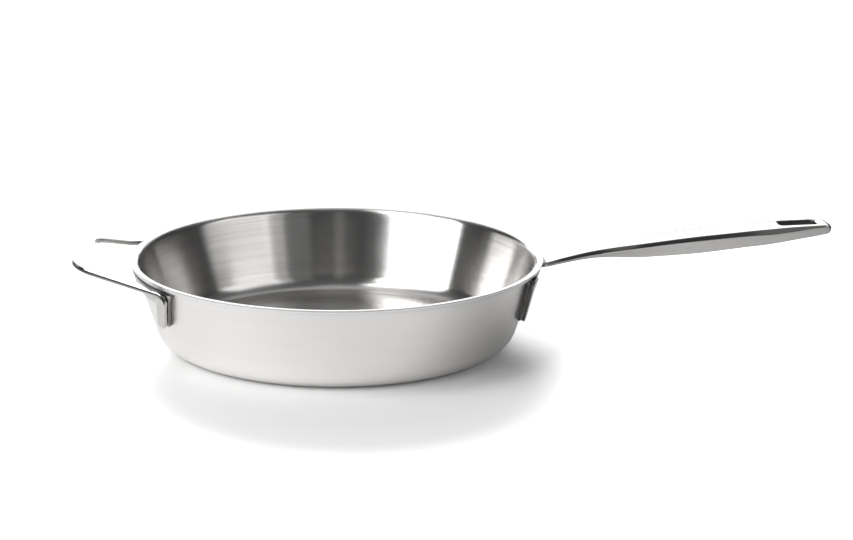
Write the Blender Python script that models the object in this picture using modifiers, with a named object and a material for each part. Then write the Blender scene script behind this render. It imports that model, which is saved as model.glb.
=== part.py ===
"""Conical stainless saute pan: a three-ply clad vessel with a rolled pouring rim, a hull-shaped long
handle and a loop helper handle, each held by a strap bracket under the rim.

Metres, +Z up. The origin is the centre of the base's underside, and the long handle points along +X.
"""

from math import acos, atan2, cos, pi, radians, sin, sqrt, tan

import bmesh
import bpy
from mathutils import Vector

OBJECT_NAME = "conical_saute_pan"

# Finishes: colour and roughness
SATIN_STEEL = ((0.62, 0.61, 0.60), 0.32)
BRUSHED_STEEL = ((0.60, 0.59, 0.58), 0.28)
BRACKET_STEEL = ((0.58, 0.57, 0.56), 0.35)
POLISHED_STEEL = ((0.66, 0.65, 0.64), 0.12)
CORE_METAL = ((0.80, 0.80, 0.81), 0.40)

# Meshing
MERGE_DISTANCE = 0.00001
CUT_TOLERANCE = 0.00005
SHARP_EDGE = radians(35)
ARC_SEGMENTS = 4

# Clad sheet, from the underside up. The bond gaps stand for the bonded faces.
OUTER_STEEL = 0.0005
CORE_ALUMINIUM = 0.0014
INNER_STEEL = 0.0005
BOND_GAP = 0.0003

# Vessel
VESSEL_HEIGHT = 0.0613
LIP_OUTER_RADIUS = 0.1447
WALL_FLARE = radians(17.5)
CORNER_RADIUS = 0.017
LIP_BEND_RADIUS = 0.0010
LIP_END_ANGLE = radians(130.0)
VESSEL_STEPS = 60
CORNER_SEGMENTS = 4
LIP_SEGMENTS = 4

# Welded joints: brackets sit this far off the wall, and handles this far off the brackets
BRACKET_GAP = 0.0003
TAB_GAP = 0.0005
BRACKET_THICKNESS = 0.0023
BRACKET_BELOW_RIM = 0.0048
BRACKET_BAND = 0.0105
BRACKET_FLARE = 0.0020
BRACKET_FLARE_DROP = 0.0060
LEG_CORNER_RADIUS = 0.0022
CROTCH_RADIUS = 0.0035
STRIP_ANGLE = radians(2.4)

# Long handle's legs, measured round the wall from the handle's own line. Its arms lie on the wall over
# the bracket's crossbar, and step out over the bracket's legs.
LONG_LEG_WIDTH = 0.0052
LONG_LEG_LENGTH = 0.0310
LONG_LEG_TOP_ANGLE = radians(26.0)
LONG_LEG_BOTTOM_ANGLE = radians(22.4)
LONG_ARM_HEIGHT = 0.0052
LONG_ARM_THICKNESS = 0.0022
LONG_ARM_CORNER = 0.0035
LONG_ARM_STEP_START = radians(19.0)
LONG_ARM_STEP_END = radians(23.4)
ARM_STEP_SEGMENTS = 4
LONG_CROSSBAR = 0.0085

# Long handle's bar, along +X from the rim's edge. Its root runs on under the rim into the arms.
LONG_HANDLE_LENGTH = 0.2083
FILLET_LENGTH = 0.0045
ROOT_FLARE_LENGTH = 0.0153
NECK_DISTANCE = 0.0353
SHOULDER_DISTANCE = 0.0775
BELLY_DISTANCE = 0.1180
WIDEST_DISTANCE = 0.1553
TAPER_DISTANCE = 0.1903
WALL_WIDTH = 0.0420
ROOT_WIDTH = 0.0345
FILLET_WIDTH = 0.0275
ROOT_FLARE_WIDTH = 0.0194
NECK_WIDTH = 0.0164
SHOULDER_WIDTH = 0.0224
BELLY_WIDTH = 0.0244
WIDEST_WIDTH = 0.0250
TAPER_WIDTH = 0.0226
TIP_WIDTH = 0.0200
ROOT_DEPTH = 0.0046
FILLET_DEPTH = 0.0050
ROOT_FLARE_DEPTH = 0.0057
NECK_DEPTH = 0.0069
SHOULDER_DEPTH = 0.0127
BELLY_DEPTH = 0.0149
WIDEST_DEPTH = 0.0135
TAPER_DEPTH = 0.0093
TIP_DEPTH = 0.0066
ROOT_RISE = -0.0010
FILLET_RISE = -0.0003
ROOT_FLARE_RISE = 0.0024
NECK_RISE = 0.0067
SHOULDER_RISE = 0.0131
BELLY_RISE = 0.0180
WIDEST_RISE = 0.0213
TAPER_RISE = 0.0226
TIP_RISE = 0.0228
TIP_CORNER_RADIUS = 0.0070
SIDE_BAND = 0.0041
TOP_EDGE_RADIUS = 0.0008
SIDE_BAND_SHARE = 0.7
TOP_EDGE_SHARE = 0.25
KEEL_SHARE = 0.55
HULL_POINTS = 4
HANDLE_STATIONS = 26
STATION_SPREAD = 1.4
TIP_STATIONS = 4

# Hanging slot
SLOT_LENGTH = 0.0285
SLOT_WIDTH = 0.0140
SLOT_CORNER_RADIUS = 0.0035
SLOT_END_LAND = 0.0096
SLOT_CUTTER_REACH = 0.0300

# Helper handle: a flat loop of plate that rises away from the rim
HELPER_REACH = 0.0383
HELPER_GRIP_WIDTH = 0.0140
HELPER_THICKNESS = 0.0034
HELPER_SLOPE = 0.211
HELPER_OUTER_BEND_OUT = 0.0022
HELPER_INNER_BEND_OUT = 0.0123
HELPER_BELOW_RIM = 0.0006
HELPER_OUTER_ARM_ANGLE = radians(30.8)
HELPER_INNER_ARM_ANGLE = radians(20.5)
HELPER_OUTER_SPLAY = radians(29.8)
HELPER_INNER_SPLAY = radians(26.0)
HELPER_OUTER_CORNER = 0.0300
HELPER_INNER_CORNER = 0.0270
HELPER_BEND_DROP = 0.0072
HELPER_BEND_FULLNESS = 1.1
HELPER_TAB_THICKNESS = 0.0029
HELPER_EDGE_CHAMFER = 0.0006
HELPER_TAB_WIDTH = 0.0113
HELPER_LEG_LENGTH = 0.0265
HELPER_LEG_TOP_ANGLE = radians(32.2)
HELPER_LEG_BOTTOM_ANGLE = radians(26.3)
GRIP_STATIONS = 3
CORNER_STATIONS = 6
ARM_STATIONS = 4
BEND_STATIONS = 8
TAB_STATIONS = 3
TAB_CORNER_STATIONS = 3

# Derived vessel sizes
SHEET = OUTER_STEEL + BOND_GAP + CORE_ALUMINIUM + BOND_GAP + INNER_STEEL
LIP_ROLL = LIP_BEND_RADIUS + SHEET
LIP_CENTRE_RADIUS = LIP_OUTER_RADIUS + LIP_ROLL * cos(LIP_END_ANGLE)
LIP_CENTRE_HEIGHT = VESSEL_HEIGHT - LIP_ROLL


def wall_radius(z, off=0.0):
    """Radius of the conical wall's outer face at height z, or of the cone that stands off it by off."""
    tangent_radius = LIP_CENTRE_RADIUS - LIP_BEND_RADIUS * cos(WALL_FLARE)
    tangent_height = LIP_CENTRE_HEIGHT + LIP_BEND_RADIUS * sin(WALL_FLARE)
    return tangent_radius - (tangent_height - z) * tan(WALL_FLARE) + off / cos(WALL_FLARE)


BASE_FLAT_RADIUS = wall_radius(CORNER_RADIUS * (1 - sin(WALL_FLARE))) - CORNER_RADIUS * cos(WALL_FLARE)
BRACKET_TOP = VESSEL_HEIGHT - BRACKET_BELOW_RIM
TAB_OFF = BRACKET_GAP + BRACKET_THICKNESS + TAB_GAP
LONG_LEG = (LONG_LEG_LENGTH, LONG_LEG_TOP_ANGLE, LONG_LEG_BOTTOM_ANGLE, LONG_LEG_WIDTH)
HELPER_LEG = (HELPER_LEG_LENGTH, HELPER_LEG_TOP_ANGLE, HELPER_LEG_BOTTOM_ANGLE, HELPER_TAB_WIDTH)


def clear_scene():
    for obj in list(bpy.data.objects):
        bpy.data.objects.remove(obj, do_unlink=True)


def new_collection(name):
    collection = bpy.data.collections.new(name)
    bpy.context.scene.collection.children.link(collection)
    return collection


def metal(name, finish):
    colour, roughness = finish
    material = bpy.data.materials.new(name)
    material.use_nodes = True
    shader = material.node_tree.nodes["Principled BSDF"]
    shader.inputs["Base Color"].default_value = (*colour, 1.0)
    shader.inputs["Metallic"].default_value = 1.0
    shader.inputs["Roughness"].default_value = roughness
    return material


def add_object(name, bm, collection, material=None):
    mesh = bpy.data.meshes.new(name)
    bm.to_mesh(mesh)
    bm.free()
    obj = bpy.data.objects.new(name, mesh)
    collection.objects.link(obj)
    if material:
        mesh.materials.append(material)
    return obj


def shade(obj):
    obj.data.shade_smooth()
    obj.data.set_sharp_from_angle(angle=SHARP_EDGE)


def applied(obj):
    """The object with its modifiers made part of its mesh."""
    graph = bpy.context.evaluated_depsgraph_get()
    mesh = bpy.data.meshes.new_from_object(obj.evaluated_get(graph))
    obj.modifiers.clear()
    obj.data = mesh
    return obj


def boolean(obj, other, operation):
    modifier = obj.modifiers.new(operation.title(), "BOOLEAN")
    modifier.operation = operation
    modifier.solver = "EXACT"
    modifier.object = other


def rounded(points, radii):
    """A closed outline with each corner turned into an arc of its own radius, 0 for a sharp one."""
    outline = []
    count = len(points)
    for index, (corner, radius) in enumerate(zip(points, radii)):
        here = Vector(corner)
        back = (Vector(points[index - 1]) - here).normalized()
        ahead = (Vector(points[(index + 1) % count]) - here).normalized()
        if radius <= 0.0:
            outline.append(here)
            continue
        half_angle = acos(max(-1.0, min(1.0, back.dot(ahead)))) / 2
        centre = here + (back + ahead).normalized() * radius / sin(half_angle)
        start = here + back * radius / tan(half_angle) - centre
        end = here + ahead * radius / tan(half_angle) - centre
        turn = atan2(start.x * end.y - start.y * end.x, start.dot(end))
        begin = atan2(start.y, start.x)
        for step in range(ARC_SEGMENTS + 1):
            angle = begin + turn * step / ARC_SEGMENTS
            outline.append(centre + radius * Vector((cos(angle), sin(angle))))
    return outline


def loft(rings, close_start=True):
    """A skin over rings of points, each ring as long as the last, with its ends capped."""
    bm = bmesh.new()
    loops = [[bm.verts.new(point) for point in ring] for ring in rings]
    for ring, following in zip(loops, loops[1:]):
        for index in range(len(ring)):
            after = (index + 1) % len(ring)
            bm.faces.new((ring[index], ring[after], following[after], following[index]))
    if close_start:
        bm.faces.new(reversed(loops[0]))
    bm.faces.new(loops[-1])
    bmesh.ops.recalc_face_normals(bm, faces=bm.faces)
    return bm


def smooth_between(knots, x):
    """Value at x of a smooth curve through knots of (x, value) that never overshoots them."""
    slopes = []
    for index in range(len(knots)):
        before = knots[max(index - 1, 0)]
        here = knots[index]
        after = knots[min(index + 1, len(knots) - 1)]
        left = (here[1] - before[1]) / (here[0] - before[0]) if here[0] > before[0] else None
        right = (after[1] - here[1]) / (after[0] - here[0]) if after[0] > here[0] else None
        if left is None or right is None:
            slopes.append(right if left is None else left)
        elif left * right <= 0:
            slopes.append(0.0)
        else:
            slopes.append(2 * left * right / (left + right))
    for index in range(len(knots) - 1):
        x0, y0 = knots[index]
        x1, y1 = knots[index + 1]
        if x <= x1 or index == len(knots) - 2:
            span = x1 - x0
            t = min(max((x - x0) / span, 0.0), 1.0)
            return (
                (2 * t**3 - 3 * t**2 + 1) * y0
                + (t**3 - 2 * t**2 + t) * span * slopes[index]
                + (3 * t**2 - 2 * t**3) * y1
                + (t**3 - t**2) * span * slopes[index + 1]
            )
    return knots[-1][1]


# Vessel


def vessel_curve(depth):
    """The section at one depth inside the sheet, from the axis to the lip's edge, as (radius, height)."""
    points = [(0.0, depth)]
    for step in range(CORNER_SEGMENTS + 1):
        angle = (pi / 2) - (pi / 2 - WALL_FLARE) * step / CORNER_SEGMENTS
        reach = CORNER_RADIUS - depth
        points.append((BASE_FLAT_RADIUS + reach * cos(angle), CORNER_RADIUS - reach * sin(angle)))
    for step in range(LIP_SEGMENTS + 1):
        angle = WALL_FLARE + (LIP_END_ANGLE - WALL_FLARE) * step / LIP_SEGMENTS
        reach = LIP_BEND_RADIUS + depth
        points.append((LIP_CENTRE_RADIUS - reach * cos(angle), LIP_CENTRE_HEIGHT + reach * sin(angle)))
    return points


def vessel_layer(name, outer_depth, thickness, collection, material):
    """One sheet of the clad vessel, turned round the axis from a closed section."""
    down = list(reversed(vessel_curve(outer_depth)))
    up = vessel_curve(outer_depth + thickness)
    bm = bmesh.new()
    verts = [bm.verts.new((radius, 0.0, height)) for radius, height in down + up]
    for index in range(len(verts)):
        if index != len(down) - 1:
            bm.edges.new((verts[index], verts[(index + 1) % len(verts)]))
    obj = add_object(name, bm, collection, material)
    screw = obj.modifiers.new("Turn", "SCREW")
    screw.axis = "Z"
    screw.steps = VESSEL_STEPS
    screw.render_steps = VESSEL_STEPS
    screw.use_merge_vertices = True
    screw.merge_threshold = MERGE_DISTANCE
    screw.use_normal_calculate = True
    applied(obj)
    shade(obj)
    return obj


# Straps that follow the conical wall


def strap_outline(leg, bar_drop, bar_height, corner, flare=0.0):
    """Half of a strap with one leg, unrolled, from its middle line outwards.

    Its points are (distance round the wall, height). leg is (length, angle at the top, angle at the bottom,
    width), and the bar between the legs starts bar_drop below the legs' tops.
    """
    length, top_angle, bottom_angle, width = leg
    radius = wall_radius(BRACKET_TOP)
    bottom = BRACKET_TOP - length
    bar_top = BRACKET_TOP - bar_drop
    bar_bottom = bar_top - bar_height

    def middle(z):
        return radius * (bottom_angle + (top_angle - bottom_angle) * (z - bottom) / length)

    points = [(0.0, bar_top)]
    radii = [0.0]
    if bar_drop > 0.0:
        points += [(middle(bar_top) - width / 2, bar_top), (middle(BRACKET_TOP) - width / 2, BRACKET_TOP)]
        radii += [CROTCH_RADIUS / 2, corner]
    points.append((middle(BRACKET_TOP) + width / 2 + flare, BRACKET_TOP))
    radii.append(corner)
    if flare > 0.0:
        neck = BRACKET_TOP - BRACKET_FLARE_DROP
        points.append((middle(neck) + width / 2, neck))
        radii.append(0.0)
    points += [
        (middle(bottom) + width / 2, bottom),
        (middle(bottom) - width / 2, bottom),
        (middle(bar_bottom) - width / 2, bar_bottom),
        (0.0, bar_bottom),
    ]
    radii += [LEG_CORNER_RADIUS, LEG_CORNER_RADIUS, CROTCH_RADIUS, 0.0]
    return rounded(points, radii)


def cone_strap(name, outline, off, folds, thickness, facing, collection, material):
    """A strap cut to a half outline, mirrored, wrapped round the wall and given its thickness.

    off gives the distance of the strap's inner face from the wall, at an angle from its middle line and a
    height, and folds are the angles where that distance changes.
    """
    bm = bmesh.new()
    bm.faces.new([bm.verts.new((point.x, point.y, 0.0)) for point in outline])
    radius = wall_radius(BRACKET_TOP)
    strips = int(max(point.x for point in outline) / radius / STRIP_ANGLE) + 1
    cuts = [STRIP_ANGLE * step for step in range(1, strips)]
    for angle in [*cuts, *folds]:
        bmesh.ops.bisect_plane(
            bm,
            geom=bm.verts[:] + bm.edges[:] + bm.faces[:],
            dist=CUT_TOLERANCE,
            plane_co=(radius * angle, 0.0, 0.0),
            plane_no=(1.0, 0.0, 0.0),
        )
    for vert in bm.verts:
        angle = vert.co.x / radius
        height = vert.co.y
        reach = wall_radius(height, off(angle, height))
        vert.co = (facing * reach * cos(angle), reach * sin(angle), height)
    bm.normal_update()
    outwards = sum(face.normal.x * facing for face in bm.faces)
    if outwards < 0:
        bmesh.ops.reverse_faces(bm, faces=bm.faces)
    obj = add_object(name, bm, collection, material)
    mirror = obj.modifiers.new("Other side", "MIRROR")
    mirror.use_axis = (False, True, False)
    mirror.merge_threshold = MERGE_DISTANCE
    solid = obj.modifiers.new("Thickness", "SOLIDIFY")
    solid.thickness = thickness
    solid.offset = 1.0
    solid.use_even_offset = True
    applied(obj)
    shade(obj)
    return obj


# Long handle


def handle_knots():
    """Distances from the rim's edge with the bar's width, depth and rise over its root at each."""
    return (
        (0.0, ROOT_WIDTH, ROOT_DEPTH, ROOT_RISE),
        (FILLET_LENGTH, FILLET_WIDTH, FILLET_DEPTH, FILLET_RISE),
        (ROOT_FLARE_LENGTH, ROOT_FLARE_WIDTH, ROOT_FLARE_DEPTH, ROOT_FLARE_RISE),
        (NECK_DISTANCE, NECK_WIDTH, NECK_DEPTH, NECK_RISE),
        (SHOULDER_DISTANCE, SHOULDER_WIDTH, SHOULDER_DEPTH, SHOULDER_RISE),
        (BELLY_DISTANCE, BELLY_WIDTH, BELLY_DEPTH, BELLY_RISE),
        (WIDEST_DISTANCE, WIDEST_WIDTH, WIDEST_DEPTH, WIDEST_RISE),
        (TAPER_DISTANCE, TAPER_WIDTH, TAPER_DEPTH, TAPER_RISE),
        (LONG_HANDLE_LENGTH, TIP_WIDTH, TIP_DEPTH, TIP_RISE),
    )


def handle_at(distance):
    """The bar's half width, depth and top height at a distance from the rim's edge."""
    knots = handle_knots()
    width = smooth_between([(knot[0], knot[1]) for knot in knots], distance)
    depth = smooth_between([(knot[0], knot[2]) for knot in knots], distance)
    rise = smooth_between([(knot[0], knot[3]) for knot in knots], distance)
    past_corner = distance - (LONG_HANDLE_LENGTH - TIP_CORNER_RADIUS)
    if past_corner > 0:
        width -= 2 * (TIP_CORNER_RADIUS - sqrt(max(TIP_CORNER_RADIUS**2 - past_corner**2, 0.0)))
    return width / 2, depth, BRACKET_TOP + rise


def handle_section(half, depth):
    """Half of the bar's section: flat top, upright side band and a hull that narrows to a flat keel."""
    edge = min(TOP_EDGE_RADIUS, depth * TOP_EDGE_SHARE)
    band = min(SIDE_BAND, depth * SIDE_BAND_SHARE)
    keel = half * KEEL_SHARE
    side = [(half - edge, 0.0), (half, -edge), (half, -band)]
    for step in range(1, HULL_POINTS + 1):
        share = step / HULL_POINTS
        bulge = sin(share * pi / 2)
        across = half - (half - keel) * (share + 1 - sqrt(max(1 - share**2, 0.0))) / 2
        side.append((across, -band - (depth - band) * (share + bulge) / 2))
    return side + [(-y, z) for y, z in reversed(side)]


def handle_ring(distance, start):
    """The bar's section at a distance from the rim's edge."""
    half, depth, top = handle_at(distance)
    return [Vector((start + distance, y, top + z)) for y, z in handle_section(half, depth)]


def root_ring():
    """The bar's first section, a straight cut that slopes with the wall and lies inside the arms."""
    off = BRACKET_GAP + LONG_ARM_THICKNESS / 4
    top = BRACKET_TOP + ROOT_RISE
    section = handle_section(WALL_WIDTH / 2, ROOT_DEPTH)
    return [Vector((wall_radius(top + z, off), y, top + z)) for y, z in section]


def arm_off(angle, height):
    """The arms' distance from the wall: against it in the middle, and stepped out over the bracket's legs."""
    if height < BRACKET_TOP - LONG_ARM_HEIGHT - BOND_GAP:
        return TAB_OFF
    share = (angle - LONG_ARM_STEP_START) / (LONG_ARM_STEP_END - LONG_ARM_STEP_START)
    share = min(max(share, 0.0), 1.0)
    return BRACKET_GAP + (TAB_OFF - BRACKET_GAP) * share * share * (3 - 2 * share)


def long_handle(collection, cutters, material):
    """The bar from root to tip, joined to the forked strap that holds it, with the hanging slot cut out."""
    start = LIP_OUTER_RADIUS
    body_end = LONG_HANDLE_LENGTH - TIP_CORNER_RADIUS
    steps = [step / HANDLE_STATIONS for step in range(HANDLE_STATIONS + 1)]
    distances = [body_end * step**STATION_SPREAD for step in steps]
    for step in range(1, TIP_STATIONS + 1):
        distances.append(body_end + TIP_CORNER_RADIUS * sin(pi / 2 * step / TIP_STATIONS))
    rings = [root_ring()] + [handle_ring(distance, start) for distance in distances]
    bar = add_object("long_handle", loft(rings), collection, material)
    outline = strap_outline(LONG_LEG, 0.0, LONG_ARM_HEIGHT, LONG_ARM_CORNER)
    step_width = LONG_ARM_STEP_END - LONG_ARM_STEP_START
    shares = [step / ARM_STEP_SEGMENTS for step in range(ARM_STEP_SEGMENTS + 1)]
    folds = [LONG_ARM_STEP_START + step_width * share for share in shares]
    fork = cone_strap("fork_tool", outline, arm_off, folds, LONG_ARM_THICKNESS, 1, cutters, None)
    boolean(bar, fork, "UNION")
    slot_middle = start + LONG_HANDLE_LENGTH - SLOT_END_LAND - SLOT_LENGTH / 2
    slot = slot_cutter(slot_middle, cutters)
    boolean(bar, slot, "DIFFERENCE")
    applied(bar)
    shade(bar)
    return bar


def slot_cutter(middle, cutters):
    """A rounded box that runs right through the handle's tip."""
    half_length = SLOT_LENGTH / 2
    half_width = SLOT_WIDTH / 2
    corners = [
        (middle - half_length, -half_width),
        (middle + half_length, -half_width),
        (middle + half_length, half_width),
        (middle - half_length, half_width),
    ]
    outline = rounded(corners, [SLOT_CORNER_RADIUS] * len(corners))
    handle_top = BRACKET_TOP + TIP_RISE
    heights = (handle_top - SLOT_CUTTER_REACH, handle_top + SLOT_CUTTER_REACH)
    rings = [[Vector((point.x, point.y, height)) for point in outline] for height in heights]
    return add_object("slot_tool", loft(rings), cutters)


# Helper handle


def helper_plane(x):
    """Height of the loop's top face at a distance x from the axis."""
    return VESSEL_HEIGHT - HELPER_BELOW_RIM + HELPER_SLOPE * (x - LIP_OUTER_RADIUS)


def loop_edge(grip_x, bend_out, arm_angle, splay, corner):
    """One edge of the loop, from the middle of the grip to where the arm starts to bend."""
    bend_radius = LIP_OUTER_RADIUS + bend_out
    end = Vector((bend_radius * cos(arm_angle), bend_radius * sin(arm_angle)))
    turn = Vector((grip_x, end.y - (grip_x - end.x) * tan(splay)))
    along = (end - turn).normalized()
    tangent = corner * tan((pi / 2 - splay) / 2)
    start_arc = turn - Vector((0.0, tangent))
    end_arc = turn + along * tangent
    centre = Vector((grip_x - corner, start_arc.y))
    points = [Vector((grip_x, start_arc.y * step / GRIP_STATIONS)) for step in range(GRIP_STATIONS)]
    for step in range(CORNER_STATIONS + 1):
        angle = (pi / 2 - splay) * step / CORNER_STATIONS
        points.append(centre + corner * Vector((cos(angle), sin(angle))))
    for step in range(1, ARM_STATIONS + 1):
        points.append(end_arc.lerp(end, step / ARM_STATIONS))
    return [Vector((point.x, point.y, helper_plane(point.x))) for point in points], along


def on_wall(angle, height, off):
    reach = wall_radius(height, off)
    return Vector((reach * cos(angle), reach * sin(angle), height))


def edge_path(loop, along, tab_side):
    """An edge of the handle's top face, round the bend and down the tab, where tab_side is +1 outside."""
    bend_start = loop[-1]
    tab_top = BRACKET_TOP - HELPER_BEND_DROP
    tab_bottom = BRACKET_TOP - HELPER_LEG_LENGTH

    def tab_angle(height):
        share = (height - tab_bottom) / HELPER_LEG_LENGTH
        middle = HELPER_LEG_BOTTOM_ANGLE + (HELPER_LEG_TOP_ANGLE - HELPER_LEG_BOTTOM_ANGLE) * share
        return middle + tab_side * HELPER_TAB_WIDTH / 2 / wall_radius(BRACKET_TOP)

    tab_start = on_wall(tab_angle(tab_top), tab_top, TAB_OFF)
    tab_end = on_wall(tab_angle(tab_bottom), tab_bottom, TAB_OFF)
    fullness = (tab_start - bend_start).length * HELPER_BEND_FULLNESS
    into_bend = Vector((along.x, along.y, HELPER_SLOPE * along.x)).normalized() * fullness
    out_of_bend = (tab_end - tab_start).normalized() * fullness
    path = list(loop)
    for step in range(1, BEND_STATIONS + 1):
        t = step / BEND_STATIONS
        path.append(
            bend_start * (2 * t**3 - 3 * t**2 + 1)
            + into_bend * (t**3 - 2 * t**2 + t)
            + tab_start * (3 * t**2 - 2 * t**3)
            + out_of_bend * (t**3 - t**2)
        )
    straight = tab_bottom + LEG_CORNER_RADIUS
    for step in range(1, TAB_STATIONS + 1):
        height = tab_top + (straight - tab_top) * step / TAB_STATIONS
        path.append(on_wall(tab_angle(height), height, TAB_OFF))
    for step in range(1, TAB_CORNER_STATIONS + 1):
        turn = pi / 2 * step / TAB_CORNER_STATIONS
        height = straight - LEG_CORNER_RADIUS * sin(turn)
        inset = LEG_CORNER_RADIUS * (1 - cos(turn)) / wall_radius(height)
        path.append(on_wall(tab_angle(height) - tab_side * inset, height, TAB_OFF))
    return path


def helper_ring(outer, inner, heading, thick):
    """The plate's section between its two top edges, with its long edges broken."""
    across = (outer - inner).normalized()
    down = heading.cross(across).normalized()
    chamfer = min(HELPER_EDGE_CHAMFER, thick * TOP_EDGE_SHARE)
    return [
        outer - across * chamfer,
        outer + down * chamfer,
        outer + down * (thick - chamfer),
        outer - across * chamfer + down * thick,
        inner + across * chamfer + down * thick,
        inner + down * (thick - chamfer),
        inner + down * chamfer,
        inner + across * chamfer,
    ]


def helper_handle(collection, material):
    grip_x = LIP_OUTER_RADIUS + HELPER_REACH
    hole_x = grip_x - HELPER_GRIP_WIDTH
    outer_loop, outer_along = loop_edge(
        grip_x, HELPER_OUTER_BEND_OUT, HELPER_OUTER_ARM_ANGLE, HELPER_OUTER_SPLAY, HELPER_OUTER_CORNER
    )
    inner_loop, inner_along = loop_edge(
        hole_x, HELPER_INNER_BEND_OUT, HELPER_INNER_ARM_ANGLE, HELPER_INNER_SPLAY, HELPER_INNER_CORNER
    )
    outer = edge_path(outer_loop, outer_along, 1)
    inner = edge_path(inner_loop, inner_along, -1)
    middles = [(a + b) / 2 for a, b in zip(outer, inner)]
    rings = []
    for index in range(len(middles)):
        past_loop = (index + 1 - len(outer_loop)) / BEND_STATIONS
        thinning = min(max(past_loop, 0.0), 1.0)
        thick = HELPER_THICKNESS + (HELPER_TAB_THICKNESS - HELPER_THICKNESS) * thinning
        before = middles[max(index - 1, 0)]
        after = middles[min(index + 1, len(middles) - 1)]
        heading = (after - before).normalized()
        if index == 0:
            heading = Vector((0.0, 1.0, 0.0))
        ring = helper_ring(outer[index], inner[index], heading, thick)
        rings.append([Vector((-point.x, point.y, point.z)) for point in ring])
    bm = loft(rings, close_start=False)
    obj = add_object("helper_handle", bm, collection, material)
    mirror = obj.modifiers.new("Other arm", "MIRROR")
    mirror.use_axis = (False, True, False)
    mirror.merge_threshold = MERGE_DISTANCE
    applied(obj)
    shade(obj)
    return obj


def brackets(collection, material):
    """The two straps spot-welded to the wall: an H under the long handle and a staple under the helper."""

    def off(angle, height):
        return BRACKET_GAP

    corner = LEG_CORNER_RADIUS / 2
    crossbar_drop = LONG_ARM_HEIGHT + TAB_GAP
    long_outline = strap_outline(LONG_LEG, crossbar_drop, LONG_CROSSBAR, corner, BRACKET_FLARE)
    cone_strap("long_handle_bracket", long_outline, off, [], BRACKET_THICKNESS, 1, collection, material)
    helper_outline = strap_outline(HELPER_LEG, 0.0, BRACKET_BAND, corner, BRACKET_FLARE)
    cone_strap("helper_handle_bracket", helper_outline, off, [], BRACKET_THICKNESS, -1, collection, material)


def main():
    clear_scene()
    parts = new_collection(OBJECT_NAME)
    cutters = new_collection("cutters")
    satin = metal("satin_steel", SATIN_STEEL)
    brushed = metal("brushed_steel", BRUSHED_STEEL)
    core = metal("core_metal", CORE_METAL)
    polished = metal("polished_steel", POLISHED_STEEL)
    plate = metal("bracket_steel", BRACKET_STEEL)
    vessel_layer("outer_steel_layer", 0.0, OUTER_STEEL, parts, satin)
    vessel_layer("aluminium_core", OUTER_STEEL + BOND_GAP, CORE_ALUMINIUM, parts, core)
    vessel_layer("inner_steel_layer", SHEET - INNER_STEEL, INNER_STEEL, parts, brushed)
    brackets(parts, plate)
    long_handle(parts, cutters, polished)
    helper_handle(parts, polished)
    for tool in cutters.objects:
        tool.hide_render = True
        tool.display_type = "WIRE"


main()
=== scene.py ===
"""Dresses the conical saute pan: a brushed inside, a satin outside and polished handles, on a pale floor.

Metres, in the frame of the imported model: +Z up, the long handle along +X, the pan resting at the origin.
"""

from math import acos, cos, pi, radians, sin, sqrt, tan

import bmesh
import bpy
from mathutils import Matrix, Vector

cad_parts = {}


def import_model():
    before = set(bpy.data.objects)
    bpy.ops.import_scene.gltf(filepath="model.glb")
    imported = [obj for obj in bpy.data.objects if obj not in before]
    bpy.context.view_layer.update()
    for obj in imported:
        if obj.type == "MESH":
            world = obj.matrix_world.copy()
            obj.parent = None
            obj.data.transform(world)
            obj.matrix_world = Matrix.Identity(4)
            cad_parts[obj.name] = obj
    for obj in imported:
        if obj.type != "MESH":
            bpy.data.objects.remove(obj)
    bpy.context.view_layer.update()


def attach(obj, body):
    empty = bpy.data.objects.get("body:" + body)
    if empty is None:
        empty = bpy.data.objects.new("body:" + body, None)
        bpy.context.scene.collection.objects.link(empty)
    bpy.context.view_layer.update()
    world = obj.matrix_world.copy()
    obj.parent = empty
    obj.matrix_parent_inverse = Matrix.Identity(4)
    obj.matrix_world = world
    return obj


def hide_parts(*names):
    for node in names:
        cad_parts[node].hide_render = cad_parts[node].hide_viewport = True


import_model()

# Clad sheet, from the underside up
OUTER_STEEL = 0.0005
BOND = 0.0003
CORE_ALUMINIUM = 0.0014
INNER_STEEL = 0.0005
SHEET = OUTER_STEEL + BOND + CORE_ALUMINIUM + BOND + INNER_STEEL
SEAM = 0.00004

# Vessel
VESSEL_HEIGHT = 0.0613
LIP_OUTER_RADIUS = 0.1447
WALL_FLARE = radians(17.5)
CORNER_RADIUS = 0.017
LIP_BEND_RADIUS = 0.0020
LIP_END_ANGLE = radians(111.6)
LIP_ROLL = LIP_BEND_RADIUS + SHEET
LIP_CENTRE_RADIUS = LIP_OUTER_RADIUS + LIP_ROLL * cos(LIP_END_ANGLE)
LIP_CENTRE_HEIGHT = VESSEL_HEIGHT - LIP_ROLL
LIP_EDGE_BREAK = 0.00014
LIP_EDGE_SEGMENTS = 2
ROUND_STEPS = 288
CORNER_STEPS = 14
LIP_STEPS = 14
STRAIGHT_CUTS = 9

# Welded joints
BRACKET_GAP = 0.0003
TAB_GAP = 0.0005
BRACKET_THICKNESS = 0.0023
BRACKET_TOP = VESSEL_HEIGHT - 0.0048
BRACKET_BAND = 0.0105
BRACKET_FLARE = 0.0020
BRACKET_FLARE_DROP = 0.0060
LEG_CORNER_RADIUS = 0.0022
CROTCH_RADIUS = 0.0035
TAB_OFF = BRACKET_GAP + BRACKET_THICKNESS + TAB_GAP
STRIP_ANGLE = radians(0.8)
PRESSED_EDGE = 0.00055

# A strap's cut faces: how near square to the wall they stand, and how far off it they still count
CUT_FACE_SLANT = 0.5
STRAP_REACH = 0.0072

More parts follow.
